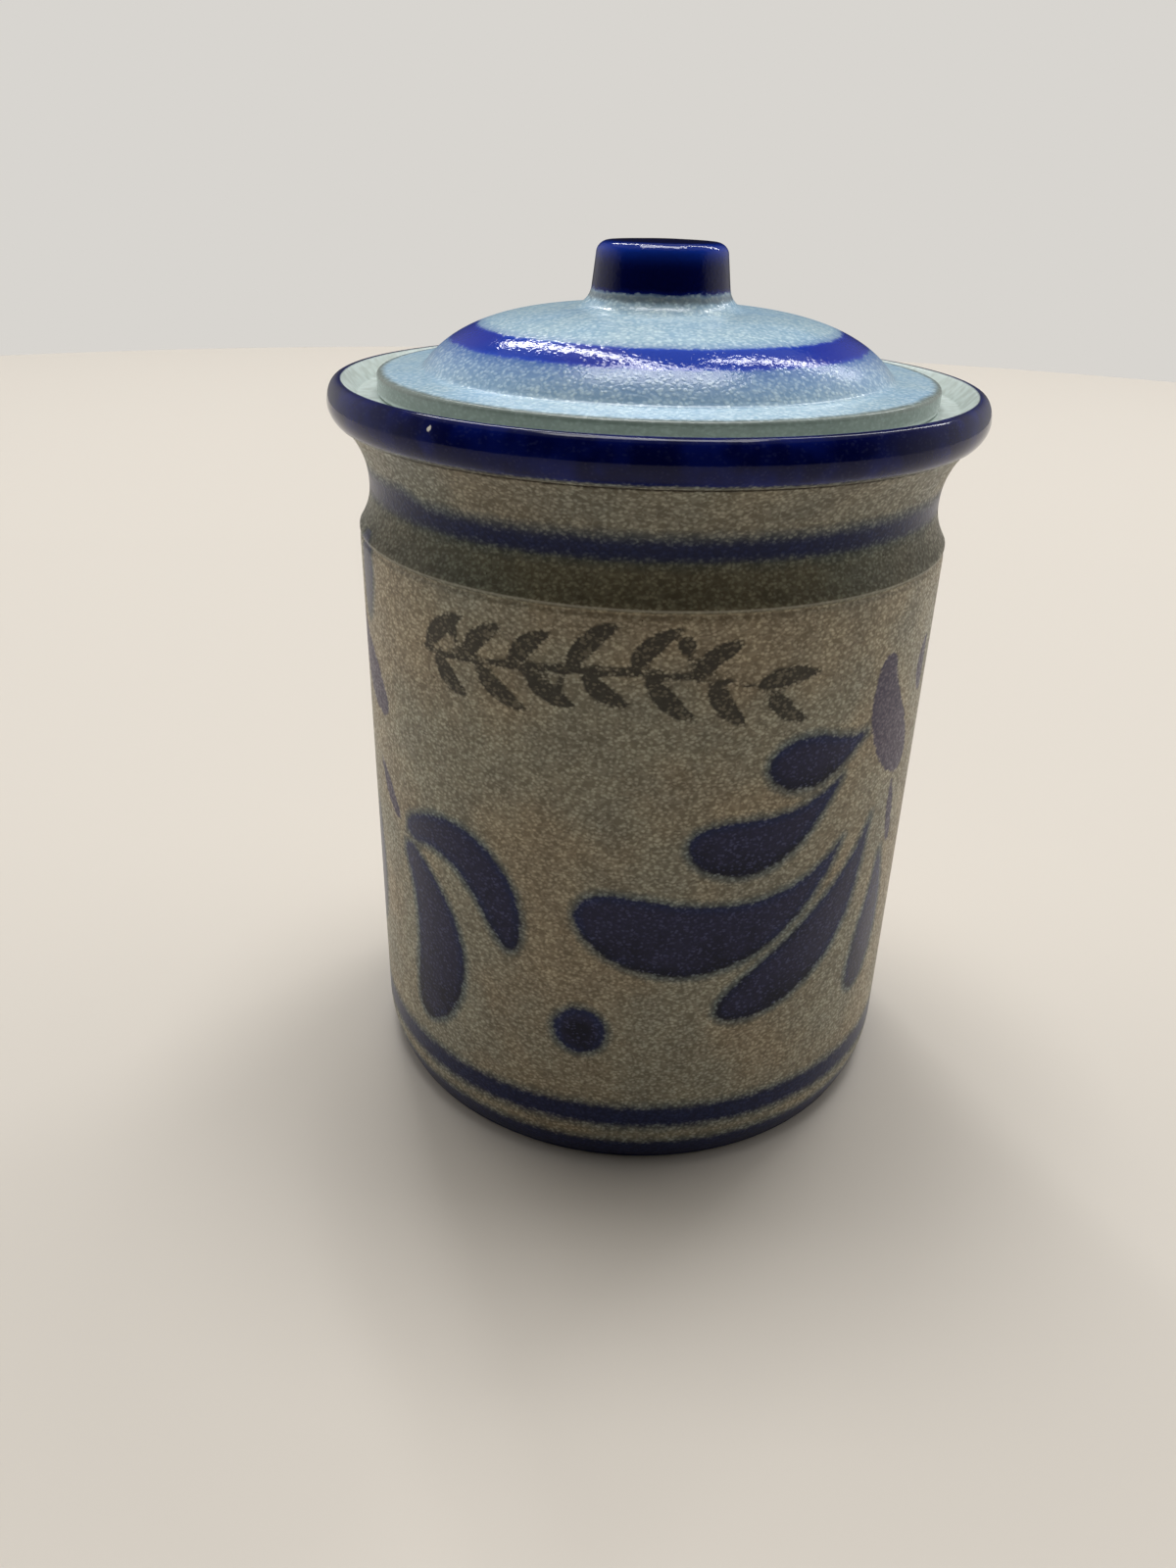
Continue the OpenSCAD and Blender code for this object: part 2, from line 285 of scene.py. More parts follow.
def lid_outline():
    """Top of the lid from the middle of the knob out to the edge, and the underside back in."""
    knob_low = [KNOB_R + KNOB_WAIST_OUT, DOME_TOP_Z + KNOB_WAIST_H]
    knob_high = [KNOB_R - KNOB_TAPER, KNOB_TOP_Z - KNOB_ROUND]
    cap_r = knob_high[0] - KNOB_ROUND
    trough = [DOME_R + TROUGH_W, DOME_Z - TROUGH_DEPTH]
    top = join(
        even([[0, KNOB_TOP_Z], [cap_r * 0.5, KNOB_TOP_Z - 0.12], [cap_r, KNOB_TOP_Z - KNOB_TAPER]], 2),
        even(corner((cap_r, knob_high[1]), KNOB_ROUND, KNOB_ROUND - KNOB_TAPER, 90, 0, 16), 0.55),
        even([knob_high, knob_low], 0.9),
        even(curve(knob_low, [KNOB_R + 0.9, DOME_TOP_Z + 1.8], [DOME_IN_R - 2.5, DOME_TOP_Z + 0.3],
                   [DOME_IN_R, DOME_TOP_Z]), 0.6),
        even(curve([DOME_IN_R, DOME_TOP_Z],
                   [DOME_R - DOME_HIGH_PULL[0], DOME_TOP_Z - DOME_HIGH_PULL[1] * DOME_H],
                   [DOME_R - DOME_LOW_PULL[0], DOME_Z + DOME_LOW_PULL[1] * DOME_H],
                   [DOME_R, DOME_Z], 40), 0.8),
        even(curve([DOME_R, DOME_Z], [DOME_R + 0.5, DOME_Z - 0.5], [DOME_R + 1.2, DOME_Z - 0.6],
                   trough, 8), 0.5),
        even([trough, [LID_R - EDGE_ROUND, FLANGE_Z]], 1.0),
        corner((LID_R - EDGE_ROUND, FLANGE_Z - EDGE_ROUND), EDGE_ROUND, EDGE_ROUND, 90, 0, 5),
        even([[LID_R, FLANGE_Z - EDGE_ROUND], [LID_R, LEDGE_Z + EDGE_ROUND]], 0.7),
    )
    under_z = DOME_TOP_Z - DOME_T
    under_low = [min(SKIRT_IN_R, DOME_R - DOME_T + 3), DOME_Z - DOME_T + 1]
    below = join(
        corner((LID_R - EDGE_ROUND, LEDGE_Z + EDGE_ROUND), EDGE_ROUND, EDGE_ROUND, 360, 270, 4),
        even([[LID_R - EDGE_ROUND, LEDGE_Z], [SKIRT_R, LEDGE_Z]], 1.5),
        even([[SKIRT_R, LEDGE_Z], [SKIRT_R, SKIRT_LOW_Z + SKIRT_BEVEL],
              [SKIRT_R - SKIRT_BEVEL, SKIRT_LOW_Z], [SKIRT_IN_R + SKIRT_BEVEL, SKIRT_LOW_Z],
              [SKIRT_IN_R, SKIRT_LOW_Z + SKIRT_BEVEL], [SKIRT_IN_R, LEDGE_Z]], 1.0),
        even([[SKIRT_IN_R, LEDGE_Z], under_low], 1.2),
        even(curve(under_low,
                   [under_low[0] - UNDER_LOW_PULL[0], under_low[1] + UNDER_LOW_PULL[1] * DOME_H],
                   [DOME_IN_R + UNDER_HIGH_PULL, under_z], [DOME_IN_R, under_z], 24), 2.5),
        even([[DOME_IN_R, under_z], [0, under_z]], 4),
    )
    return top, below


# Painted shapes

# Distances are only measured up to this far from a painted shape
FAR_OFF = 9.0
ROUND = 2 * math.pi * BODY_R
# Colour lies deeper along a stroke's edge, over this width
STROKE_EDGE = 3.0

# A brush stroke is a curved middle line on the wall, from its tip to its round end, in
# millimetres round the wall from the stem and above the foot. Then come its full width, where
# along it that is reached, and the share of it that the tip has.
LEFT_LEAVES = [
    ([(-25.5, 91), (-44, 66), (-74, 66), (-92.5, 80.5)], 20.0, 0.66, 0.05),
    ([(-28.5, 109), (-42, 95), (-53, 92), (-67.5, 98)], 14.5, 0.66, 0.05),
    ([(-21.5, 118.3), (-33, 113.5), (-40, 114.5), (-50, 115.5)], 13.0, 0.62, 0.05),
    ([(-14.5, 93), (-22, 70), (-34, 57), (-58, 48.5)], 16.0, 0.62, 0.05),
    ([(-6, 80), (-4, 66), (-7, 52), (-12.5, 40)], 12.0, 0.66, 0.10),
]
RIGHT_LEAVES = [
    ([(19, 83), (35, 92), (51, 88), (55, 62.5)], 12.8, 0.62, 0.45),
    ([(18, 79), (29, 70), (39, 52), (23.5, 28.5)], 18.0, 0.66, 0.30),
]
RIGHT_PETALS = [
    ([(-15, 136), (-19, 124), (-10, 113), (0, 102.5)], 14.0, 0.60, 0.40),
    ([(7, 134), (4, 130), (4, 126), (7, 120)], 6.0, 0.50, 0.40),
    ([(-5, 100), (-4, 94), (-3, 88), (-1, 80)], 3.6, 0.50, 0.20),
]
LEFT_PETALS = [
    ([(-14, 134), (-10, 127), (-2, 119.5), (11, 112)], 12.0, 0.66, 0.30),
    ([(3, 98), (6, 93), (10, 88), (15, 84)], 5.0, 0.60, 0.15),
]
BUDS = [([(-1, 155), (1, 150), (1, 142), (-1, 134)], 9.0, 0.50, 0.50)]
SPRIG = [
    ([(-2, 96), (-17, 90), (-20, 76), (-14, 58)], 15.0, 0.64, 0.15),
    ([(2, 96), (17, 90), (20, 76), (14, 58)], 15.0, 0.64, 0.15),
    ([(0, 98), (-3, 106), (-2, 114), (2, 124)], 12.0, 0.60, 0.15),
]
DOT_R = 6.5
DOT_TALL = 0.2
RIGHT_STEM = 80.0
LEFT_STEM = -85.0
BACK_STEM = 204.0
DOTS = [(-11.6, 43.0), (BACK_STEM, 36.0)]

# The ornament between the leaves and the tooled line is an olive branch: its stem, then its
# leaves in pairs and its berries, in the same millimetres
BRANCH = [(-57, 136), (-34, 134), (-4, 144), (25, 135)]
BRANCH_W = 1.7
BRANCH_LEAVES = 7
BRANCH_LEAF = (15.5, 4.3)
# The pairs spread over this share of the stem, one leaf of each sits this much further on, and
# each leaf bows out by so much
BRANCH_REACH = 0.95
BRANCH_OFFSET = 3.4
BRANCH_BOW = 1.3
BERRY_R = 1.9
BERRY_OUT = 6.8
STALK_W = 1.1


def spline_at(points, t):
    p = np.array(points, float)
    t = t[:, None]
    start = (1 - t) ** 3 * p[0] + 3 * (1 - t) ** 2 * t * p[1]
    return start + 3 * (1 - t) * t * t * p[2] + t ** 3 * p[3]


def stroke_width(t, widest, tip):
    """Share of the full width along a stroke, t from 0 at the tip to 1 at the round end."""
    rise = tip + (1 - tip) * np.sin(np.pi / 2 * np.clip(t / widest, 0, 1)) ** 1.3
    rise = rise * np.sqrt(np.clip(t / 0.05, 0, 1))
    fall = np.clip((t - widest) / (1 - widest), 0, 1)
    return np.where(t < widest, rise, np.sqrt(1 - fall ** 2.4))


def stroke_outline(points, width, widest, tip, n=36, pointed=False):
    t = 1 - (1 - np.linspace(0, 1, n)) ** 1.4
    middle = spline_at(points, t)
    way = np.gradient(middle, axis=0)
    way /= np.linalg.norm(way, axis=1)[:, None]
    share = np.sin(math.pi * t ** 0.8) ** 0.85 if pointed else stroke_width(t, widest, tip)
    side = np.stack([-way[:, 1], way[:, 0]], 1) * (width / 2 * share)[:, None]
    return np.concatenate([middle + side, (middle - side)[::-1]])


def outline_distance(outline, p):
    """Signed distance of points from a closed outline, negative inside."""
    a = outline
    b = np.roll(outline, -1, axis=0)
    best = np.full(len(p), 1e9)
    inside = np.zeros(len(p), bool)
    for (x0, y0), (x1, y1) in zip(a, b):
        ex, ey = x1 - x0, y1 - y0
        length = ex * ex + ey * ey
        if length < 1e-12:
            continue
        u = np.clip(((p[:, 0] - x0) * ex + (p[:, 1] - y0) * ey) / length, 0, 1)
        best = np.minimum(best, np.hypot(p[:, 0] - x0 - u * ex, p[:, 1] - y0 - u * ey))
        if y0 != y1:
            crosses = ((y0 > p[:, 1]) != (y1 > p[:, 1])) & (p[:, 0] < ex * (p[:, 1] - y0) / ey + x0)
            inside ^= crosses
    return np.where(inside, -best, best)


def lay_stroke(sdf, pool, place, outline, depth):
    """Adds one stroke to the distances sdf and to pool, which is how deep its colour lies."""
    for turn in (-ROUND, 0, ROUND):
        shifted = outline + [turn, 0]
        low, high = shifted.min(0) - FAR_OFF, shifted.max(0) + FAR_OFF
        near = np.all((place > low) & (place < high), axis=1)
        if near.any():
            d = outline_distance(shifted, place[near])
            held = sdf[near]
            pool[near] = np.where(d < held, depth(place[near] - [turn, 0], d), pool[near])
            sdf[near] = np.minimum(held, d)


def stroke_depth(outline):
    """Colour runs down and lies deepest along the lower side and the round end."""
    low, high = outline.min(0), outline.max(0)

    def depth(p, d):
        down = 1 - (p[:, 1] - low[1]) / (high[1] - low[1])
        edge = np.clip(1 + d / STROKE_EDGE, 0, 1)
        return np.clip(0.25 + 0.55 * down + 0.25 * edge * down, 0, 1)

    return depth


def dot_depth(z):
    """Colour lies deepest in the middle of a dot and a little below it."""
    return lambda p, d: 0.45 - 0.10 * d + 0.03 * (z - p[:, 1])


def disc(w, h, n):
    """Closed outline with half-axes w and h round the origin, in n points."""
    a = np.linspace(0, 2 * math.pi, n, endpoint=False)
    return np.stack([w * np.cos(a), h * np.sin(a)], 1)


def leaf_fields(place):
    """Distance from the cobalt strokes and depth of their colour, at points of the wall."""
    sdf = np.full(len(place), FAR_OFF)
    pool = np.zeros(len(place))
    strokes = [(stem, s) for stem in (LEFT_STEM, RIGHT_STEM) for s in LEFT_LEAVES + RIGHT_LEAVES]
    strokes += [(BACK_STEM, s) for s in SPRIG] + [(LEFT_STEM, s) for s in BUDS]
    for stem, (points, width, widest, tip) in strokes:
        outline = stroke_outline(points, width, widest, tip) + [stem, 0]
        lay_stroke(sdf, pool, place, outline, stroke_depth(outline))
    for dot in DOTS:
        outline = disc(DOT_R, DOT_R + DOT_TALL, 32) + dot
        lay_stroke(sdf, pool, place, outline, dot_depth(dot[1]))
    return sdf, pool


def no_depth(p, d):
    return np.zeros(len(p))


def petal_field(place):
    """Distance from the purple petals."""
    sdf = np.full(len(place), FAR_OFF)
    pool = np.zeros(len(place))
    for stem, petals in ((LEFT_STEM, LEFT_PETALS), (RIGHT_STEM, RIGHT_PETALS)):
        for points, width, widest, tip in petals:
            outline = stroke_outline(points, width, widest, tip) + [stem, 0]
            lay_stroke(sdf, pool, place, outline, no_depth)
    return sdf


def branch_field(place):
    """Distance from the dark grey olive branch."""
    sdf = np.full(len(place), FAR_OFF)
    pool = np.zeros(len(place))

    def lay(outline):
        lay_stroke(sdf, pool, place, outline, no_depth)

    lay(stroke_outline(BRANCH, BRANCH_W, 0.5, 0.5))
    length, width = BRANCH_LEAF
    for i in range(BRANCH_LEAVES):
        share = BRANCH_REACH * i / (BRANCH_LEAVES - 1)
        foot, ahead = spline_at(BRANCH, np.array([0.05 + share, 0.06 + share]))
        way = (ahead - foot) / np.linalg.norm(ahead - foot)
        left = np.array([-way[1], way[0]])
        last = i == BRANCH_LEAVES - 1
        for side in ((1, -1) if i % 2 == 0 else (-1, 1)):
            start = foot + way * (0 if side == 1 else BRANCH_OFFSET)
            lean = 0.42 if last else 0.78 + 0.06 * math.sin(5.3 * i)
            reach = length * (0.86 + 0.12 * math.sin(2.1 * i + side))
            along_it = way * math.cos(lean) + left * side * math.sin(lean)
            bow = left * side * BRANCH_BOW
            leaf = [start, start + along_it * reach * 0.35 - way * 0.8 + bow,
                    start + along_it * reach * 0.7 + bow, start + along_it * reach + way * 1.4]
            lay(stroke_outline(leaf, width, 0.5, 0.2, pointed=True))
        if i % 2 == 1:
            berry = foot + left * BERRY_OUT * (1 if i % 4 == 1 else -1) - way * 3.0
            lay(berry + disc(BERRY_R, BERRY_R, 16))
            stalk = [foot - way * 1.0, foot * 0.7 + berry * 0.3, foot * 0.4 + berry * 0.6, berry]
            lay(stroke_outline(stalk, STALK_W, 0.5, 0.6))
    return sdf


# Turned meshes

def angles(turns):
    """Even angles round a turned piece, from the front towards +X."""
    return np.arange(turns) * 2 * math.pi / turns


def wobble(angle, seed, size):
    """A smooth hand-made unevenness round the pot."""
    rng = np.random.default_rng(seed)
    total = np.zeros_like(angle)
    for k in range(1, WAVES + 1):
        total += rng.uniform(-1, 1) / k ** 0.7 * np.sin(k * angle + rng.uniform(0, 2 * math.pi))
    return size * total


def turned(name, outline, turns, fields, hand):
    """A closed turned mesh. fields holds one value per point of the outline, or one row of values
    round the pot per point, and hand the share of the unevenness that each point takes."""
    rows = len(outline) - 2
    angle = angles(turns)
    r = outline[1:-1, 0][:, None] + hand[1:-1][:, None] * wobble(angle, *HAND)[None, :]
    x = r * np.sin(angle)[None, :]
    y = -r * np.cos(angle)[None, :]
    z = np.repeat(outline[1:-1, 1][:, None], turns, 1)
    ring = np.stack([x, y, z], 2).reshape(-1, 3)
    points = np.concatenate([ring, [[0, 0, outline[0, 1]], [0, 0, outline[-1, 1]]]])
    i = np.arange(rows - 1)[:, None] * turns
    j = np.arange(turns)[None, :]
    k = (j + 1) % turns
    quads = np.stack([i + j, i + k, i + turns + k, i + turns + j], 2).reshape(-1, 4)
    first, last = rows * turns, rows * turns + 1
    end = (rows - 1) * turns
    j, k = j[0], k[0]
    caps = [(first, int(b), int(a)) for a, b in zip(j, k)]
    caps += [(last, int(end + a), int(end + b)) for a, b in zip(j, k)]
    mesh = bpy.data.meshes.new(name)
    mesh.from_pydata((points * MM).tolist(), [], quads.tolist() + caps)
    mesh.polygons.foreach_set("use_smooth", np.ones(len(mesh.polygons), bool))
    for key, values in fields.items():
        table = values if values.ndim == 2 else np.repeat(values[:, None], turns, 1)
        full = np.concatenate([table[1:-1].reshape(-1), [table[0, 0], table[-1, 0]]])
        mesh.attributes.new(key, "FLOAT", "POINT").data.foreach_set("value", full.astype(np.float32))
    return add_object(name, mesh)


def add_object(name, data):
    thing = bpy.data.objects.new(name, data)
    bpy.context.scene.collection.objects.link(thing)
    return thing


def along(outline):
    return np.concatenate([[0], np.cumsum(np.linalg.norm(np.diff(outline, axis=0), axis=1))])


def band_distance(position, edges):
    """Signed distance along an outline from the nearest of several bands."""
    return np.min([np.maximum(low - position, position - high) for low, high in edges], axis=0)


def ramp(value, low, high):
    """0 at low, 1 at high and straight between them."""
    return np.clip((value - low) / (high - low), 0, 1)


def crock_piece():
    under, outside, inside = crock_outline()
    outline = join(under, outside, inside)
    s = along(outline)
    start, end = len(under) - 1, len(under) + len(outside) - 2
    out_s, out_z = s[start:end + 1], outline[start:end + 1, 1]

    def at(z):
        return float(np.interp(z, out_z, out_s))

    crest_s = s[end]
    groove_s, crease_s = at(GROOVE_Z), at(CREASE_Z)
    turns = angles(CROCK_TURNS)
    shake = wobble(turns, *CROCK_BANDS)
    shaken = s[:, None] + shake[None, :]
    band = band_distance(shaken, [(at(BEAD_LOW_Z), crest_s - CREST_WIDE)])

    past_start = np.mod(turns + math.radians(STRIPE_START), 2 * math.pi) / (2 * math.pi)
    step = np.interp(past_start, *STRIPE_STEP)
    neck_low = np.interp(past_start, *STRIPE_LOW) + at(NECK_STRIPE[0]) + step
    neck_high = np.interp(past_start, *STRIPE_HIGH) + at(NECK_STRIPE[1]) + step
    neck = np.maximum(neck_low[None, :] - s[:, None], s[:, None] - neck_high[None, :])
    foot_bands = [(at(0) - FOOT_BAND_DOWN, at(FOOT_BAND_TOP)), tuple(at(z) for z in FOOT_STRIPE)]
    stripe = np.minimum(neck - 0.5 * shake[None, :], band_distance(shaken, foot_bands))
    stripe = np.clip(stripe, -FAR_OFF, FAR_OFF)
    veil = np.clip(1 - (s[:, None] - neck_high[None, :]) / STRIPE_VEIL, 0, 1)
    veil = veil * (s > at(NECK_STRIPE[0]))[:, None]

    white = (crest_s - CREST_WIDE - s)[:, None] + wobble(turns, *CROCK_SLIP)[None, :]
    white = np.minimum(white, FAR_OFF)
    wash_and_shade_low, wash_and_shade_high = at(WASH_AND_SHADE_ZONE[0]), at(WASH_AND_SHADE_ZONE[1])
    fields = {
        "band": band,
        "stripe": stripe,
        "veil": veil,
        "white": white,
        "wash_and_shade": np.clip((s - wash_and_shade_low) / 0.8, 0, 1) * np.clip((wash_and_shade_high - s) / 2.5 + 0.5, 0, 1),
        "crease": np.abs(s - crease_s),
        "fade": np.where(s < crease_s - 2, 1, ramp(s, crease_s, crease_s + 2.2)),
        "collar": ramp(s, groove_s, groove_s + 0.8) * (s < crease_s + 0.2),
        "lip": np.minimum(np.abs(s - at(GROOVE_Z + 0.75)), FAR_OFF),
        **wall_fields(outline, start, end, turns),
    }
    hand = np.clip(np.minimum(s - s[start], s[end] - s) / HAND_REACH, 0, 1)
    return turned("crock_body", outline, CROCK_TURNS, fields, hand)


def wall_fields(outline, start, end, turns):
    """Brush strokes on the wall between foot and neck, far off everywhere else."""
    painted = [i for i in range(start, end) if FOOT_H < outline[i, 1] < GROOVE_Z + 4]
    around = np.where(turns > math.pi, turns - 2 * math.pi, turns) * BODY_R
    place = np.array([[x, outline[i, 1]] for i in painted for x in around])
    leaf, pool = leaf_fields(place)
    fields = {}
    for key, values, elsewhere in (("leaf", leaf, FAR_OFF), ("pool", pool, 0.0),
                                   ("petal", petal_field(place), FAR_OFF),
                                   ("branch", branch_field(place), FAR_OFF)):
        fields[key] = np.full((len(outline), len(turns)), elsewhere)
        fields[key][painted] = values.reshape(len(painted), -1)
    return fields


def lid_piece():
    top, below = lid_outline()
    outline = join(top, below)[::-1]
    s = along(outline)
    edge = len(below) - 1
    radius, height = outline[:, 0], outline[:, 1]
    on_top = np.arange(len(outline)) >= edge
    turns = angles(LID_TURNS)
    stripe_s = sorted(float(np.interp(-r, -radius[edge:], s[edge:])) for r in DOME_STRIPE_R)
    cap_s = s[on_top & (height < KNOB_CAP_Z)].max()
    corner_s = s[on_top & (height < KNOB_TOP_Z - KNOB_ROUND)].max() + 0.8 * KNOB_ROUND
    before_stripe = on_top & (s < stripe_s[0] + 1)
    fields = {
        "stripe": band_distance(s[:, None] + wobble(turns, *LID_STRIPE)[None, :], [stripe_s]),
        "cap": band_distance(s[:, None] + wobble(turns, *LID_CAP)[None, :], [(cap_s, s[-1] + FAR_OFF)]),
        "white": np.where(on_top, np.minimum(s - s[edge], FAR_OFF), s - s[edge]),
        "drip": np.where(before_stripe, np.clip(1 - (stripe_s[0] - s) / DRIP_W, 0, 1), 0),
        "thin": np.exp(-((s - corner_s) / THIN_W) ** 2),
    }
    hand = np.clip(np.minimum(s - s[edge], s[-1] - s) / HAND_REACH, 0, 1)
    return turned("lid_body", outline, LID_TURNS, fields, hand)


# Materials

class Paint:
    """Short calls for building one node material."""

    def __init__(self, name):
        self.material = bpy.data.materials.new(name)
        self.material.use_nodes = True
        self.tree = self.material.node_tree
        self.shader = self.tree.nodes["Principled BSDF"]
        coords = self.add("ShaderNodeTexCoord").outputs["Object"]
        self.place = self.vector("MULTIPLY", coords, (1 / MM, 1 / MM, 1 / MM))

    def add(self, kind, inputs=None, **settings):
        node = self.tree.nodes.new(kind)
        for key, value in settings.items():
            setattr(node, key, value)
        for key, value in (inputs or {}).items():
            self.put(node.inputs[key], value)
        return node

    def put(self, socket, value):
        if isinstance(value, bpy.types.NodeSocket):
            self.tree.links.new(value, socket)
        else:
            socket.default_value = value

    def shade(self, name, value):
        self.put(self.shader.inputs[name], value)

    def field(self, name):
        return self.add("ShaderNodeAttribute", attribute_name=name).outputs["Fac"]

    def calc(self, operation, a, b=0.0, clamp=False):
        node = self.add("ShaderNodeMath", {0: a, 1: b}, operation=operation, use_clamp=clamp)
        return node.outputs[0]

    def plus(self, a, b, clamp=False):
        return self.calc("ADD", a, b, clamp)

    def times(self, a, b, clamp=False):
        return self.calc("MULTIPLY", a, b, clamp)

    def around_zero(self, value, size):
        """A value from 0 to 1, moved to lie evenly round 0, and scaled."""
        return self.times(self.calc("SUBTRACT", value, 0.5), size)

    def vector(self, operation, *inputs):
        return self.add("ShaderNodeVectorMath", dict(enumerate(inputs)), operation=operation).outputs[0]

    def noise(self, size, detail=2.0, bend=0.0, place=None):
        inputs = {"Vector": place or self.place, "Scale": 1 / size, "Detail": detail, "Distortion": bend}
        return self.add("ShaderNodeTexNoise", inputs).outputs["Fac"]

    def span(self, value, low, high):
        """Goes smoothly from 0 at low to 1 at high. low may be the larger one."""
        inputs = {0: value, 1: low, 2: high}
        return self.add("ShaderNodeMapRange", inputs, interpolation_type="SMOOTHSTEP").outputs[0]

    def mix(self, share, a, b):
        node = self.add("ShaderNodeMix", {0: share, 6: as_colour(a), 7: as_colour(b)}, data_type="RGBA")
        return node.outputs[2]

    def tint(self, colour, by, share=1.0):
        node = self.add("ShaderNodeMix", {0: share, 6: as_colour(colour), 7: as_colour(by)},
                        data_type="RGBA", blend_type="MULTIPLY")
        return node.outputs[2]

    def blend(self, share, a, b):
        """Mixes two numbers."""
        node = self.add("ShaderNodeMix", {0: share, 2: a, 3: b}, data_type="FLOAT")
        return node.outputs[0]

    def bump(self, height):
        """Turns the shading as a surface that is raised by so many millimetres."""
        inputs = {"Height": height, "Strength": 1.0, "Distance": MM}
        self.shade("Normal", self.add("ShaderNodeBump", inputs).outputs["Normal"])


def as_colour(value):
    if isinstance(value, bpy.types.NodeSocket):
        return value
    return (*value, 1.0)


def srgb(*values):
    """A colour given as 0 to 255 steps of a screen."""
    return tuple((v / 255 / 12.92) if v / 255 <= 0.04045 else ((v / 255 + 0.055) / 1.055) ** 2.4
                 for v in values)


# Sizes of the glaze's unevenness, in millimetres
CROCK_CELL = 1.12
LID_CELL = 1.15
PATCH_SIZE = 30
DRIFT_SIZE = 9
MOTTLE_SIZE = 2.4
SPECK_SIZE = 6.5
WORN_SIZE = 3.5
LID_PATCH_SIZE = 24
LID_MOTTLE_SIZE = 3.4
VIOLET_SIZE = 34

# The chip on the bead: how far it reaches, and how ragged its edge is
CHIP_SIZE = 1.55
CHIP_RAGGED = 1.6

# Height of the orange peel on bare clay and under paint or slip, and of leaves and branch
CROCK_PEEL = 0.035
CROCK_SMOOTH = 0.006
LEAF_RAISED = 0.03
BRANCH_RAISED = 0.02
LID_PEEL = 0.04
LID_SMOOTH = 0.024

CLAY_LIGHT = srgb(188, 181, 160)
CLAY_DARK = srgb(130, 121, 103)
CLAY_WARM = (1.05, 0.99, 0.92)
CLAY_COOL = (0.95, 1.0, 1.02)
DRIFT_DARK = (0.91, 0.91, 0.92)
DRIFT_LIGHT = (1.05, 1.05, 1.04)
MOTTLE_DARK = (0.90, 0.90, 0.90)
MOTTLE_LIGHT = (1.06, 1.06, 1.06)
# Tint of a grey-green wash, darkened further as painted shade under the bead
WASH_AND_SHADE_TINT = (0.64, 0.66, 0.60)
SLIP_WHITE = srgb(216, 228, 224)
SLIP_GREY = srgb(198, 209, 203)
LEAF_EDGE = srgb(32, 44, 90)
LEAF_MIDDLE = srgb(46, 47, 82)
LEAF_POOL = srgb(3, 9, 44)
HALO_TINT = (0.42, 0.55, 0.74)
LEAF_FLECK = srgb(84, 88, 126)
GAP_TINT = (0.36, 0.38, 0.48)
PETAL = srgb(66, 60, 88)
PETAL_THIN = srgb(98, 90, 114)
VEIL = srgb(46, 54, 78)
CHIP = srgb(232, 230, 220)
COBALT = srgb(10, 28, 112)
BAND_EDGE = srgb(16, 28, 82)
COBALT_DEEP = srgb(2, 8, 62)
COBALT_LIT = srgb(34, 76, 196)
COBALT_BRIGHT = srgb(22, 60, 176)
STRIPE_DARK = srgb(5, 16, 60)
STRIPE_THIN = srgb(20, 34, 84)
NECK_TINT = (0.72, 0.76, 0.80)
DRIP = srgb(78, 118, 186)
BEAD_BROWN = srgb(64, 50, 62)
# Painted shade in the crease under the bead's overhang
CREASE_SHADE = srgb(30, 24, 22)
LIP_LIGHT = srgb(186, 182, 168)
MANGANESE = srgb(74, 34, 128)
BRANCH_DARK = srgb(50, 48, 44)
BRANCH_THIN = srgb(96, 90, 76)
LID_LIGHT = srgb(226, 247, 255)
LID_DARK = srgb(152, 187, 212)
LID_EDGE = srgb(136, 148, 142)
LID_EDGE_DARK = (0.85, 0.85, 0.85)
LID_EDGE_LIGHT = (1.08, 1.08, 1.08)
LID_WARM = (1.0, 1.0, 0.98)
LID_COOL = (0.90, 0.96, 1.02)
# Painted reflection of the dark knob cap in the glaze at the knob's foot
KNOB_FOOT_REFLECTION = srgb(92, 84, 74)
IRON = srgb(52, 38, 30)


def peel_cells(p, size):
    """Light worm-shaped cells with darker gaps, as salt leaves them: 0 in a gap, 1 on a cell.
    They are a little wider than high."""
    flat = p.vector("MULTIPLY", p.place, (1.0, 1.0, 1.35))
    bend = p.add("ShaderNodeTexNoise", {"Vector": flat, "Scale": 0.7 / size, "Detail": 1.0})
    shift = p.vector("MULTIPLY_ADD", bend.outputs["Color"], (0.9 * size,) * 3, flat)
    cells = p.add("ShaderNodeTexVoronoi", {"Vector": shift, "Scale": 1 / size, "Smoothness": 0.35},
                  feature="SMOOTH_F1")
    wave = p.noise(size * 2.2, 1.0, 0.4, flat)
    ridge = p.span(p.calc("ABSOLUTE", p.calc("SUBTRACT", wave, 0.5)), 0.12, 0.0)
    domes = p.span(cells.outputs["Distance"], 0.60, 0.18)
    return p.plus(p.times(ridge, 0.3), p.times(domes, 0.7))


def slip_colour(p, mottle):
    return p.mix(p.span(mottle, 0.3, 0.7), SLIP_GREY, SLIP_WHITE)


